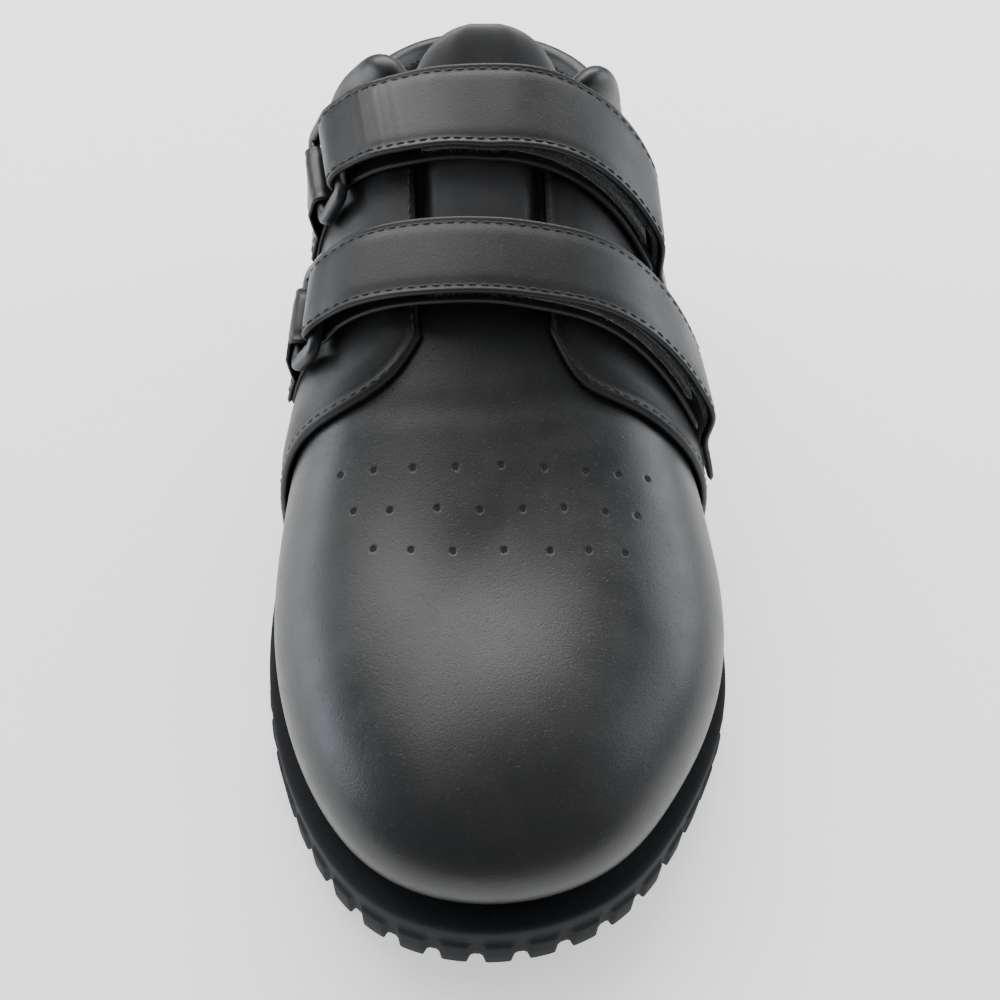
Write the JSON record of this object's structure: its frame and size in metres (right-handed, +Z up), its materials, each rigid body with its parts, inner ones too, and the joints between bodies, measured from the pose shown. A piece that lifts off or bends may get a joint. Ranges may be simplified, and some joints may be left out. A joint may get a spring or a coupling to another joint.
{
  "type": "extra wide strap shoe",
  "caption": "Extra wide left shoe in black leather: hollow upper with a perforated vamp, padded collar and tongue, strap closures through medial rings, and a lugged wedge sole",
  "frame": {"origin": "bottom centre of the bounding box, on the floor that the sole stands on", "axes": "+X to the outer (lateral) side, +Y from toe to heel, +Z up; the toe points to -Y"},
  "size_m": [0.126, 0.3022, 0.1298],
  "materials": {
    "sole_rubber": "matt black moulded sole",
    "lining": "dark lining cloth",
    "upper_leather": "smooth satin black leather",
    "strap_leather": "smooth satin black leather",
    "hook_and_loop": "fuzzy black tape",
    "ring_plastic": "black moulded plastic"
  },
  "bodies": {
    "root": {"sole": "sole_rubber", "insole": "lining", "upper": "upper_leather", "quarter_medial": "upper_leather", "quarter_lateral": "upper_leather", "collar_padding": "upper_leather", "tongue": "upper_leather", "strap_upper": "strap_leather", "strap_lower": "strap_leather", "pile_upper": "hook_and_loop", "pile_lower": "hook_and_loop", "hook_upper": "hook_and_loop", "hook_lower": "hook_and_loop", "ring_upper": "ring_plastic", "ring_lower": "ring_plastic", "chape_upper": "strap_leather", "chape_lower": "strap_leather"}
  },
  "joints": []
}
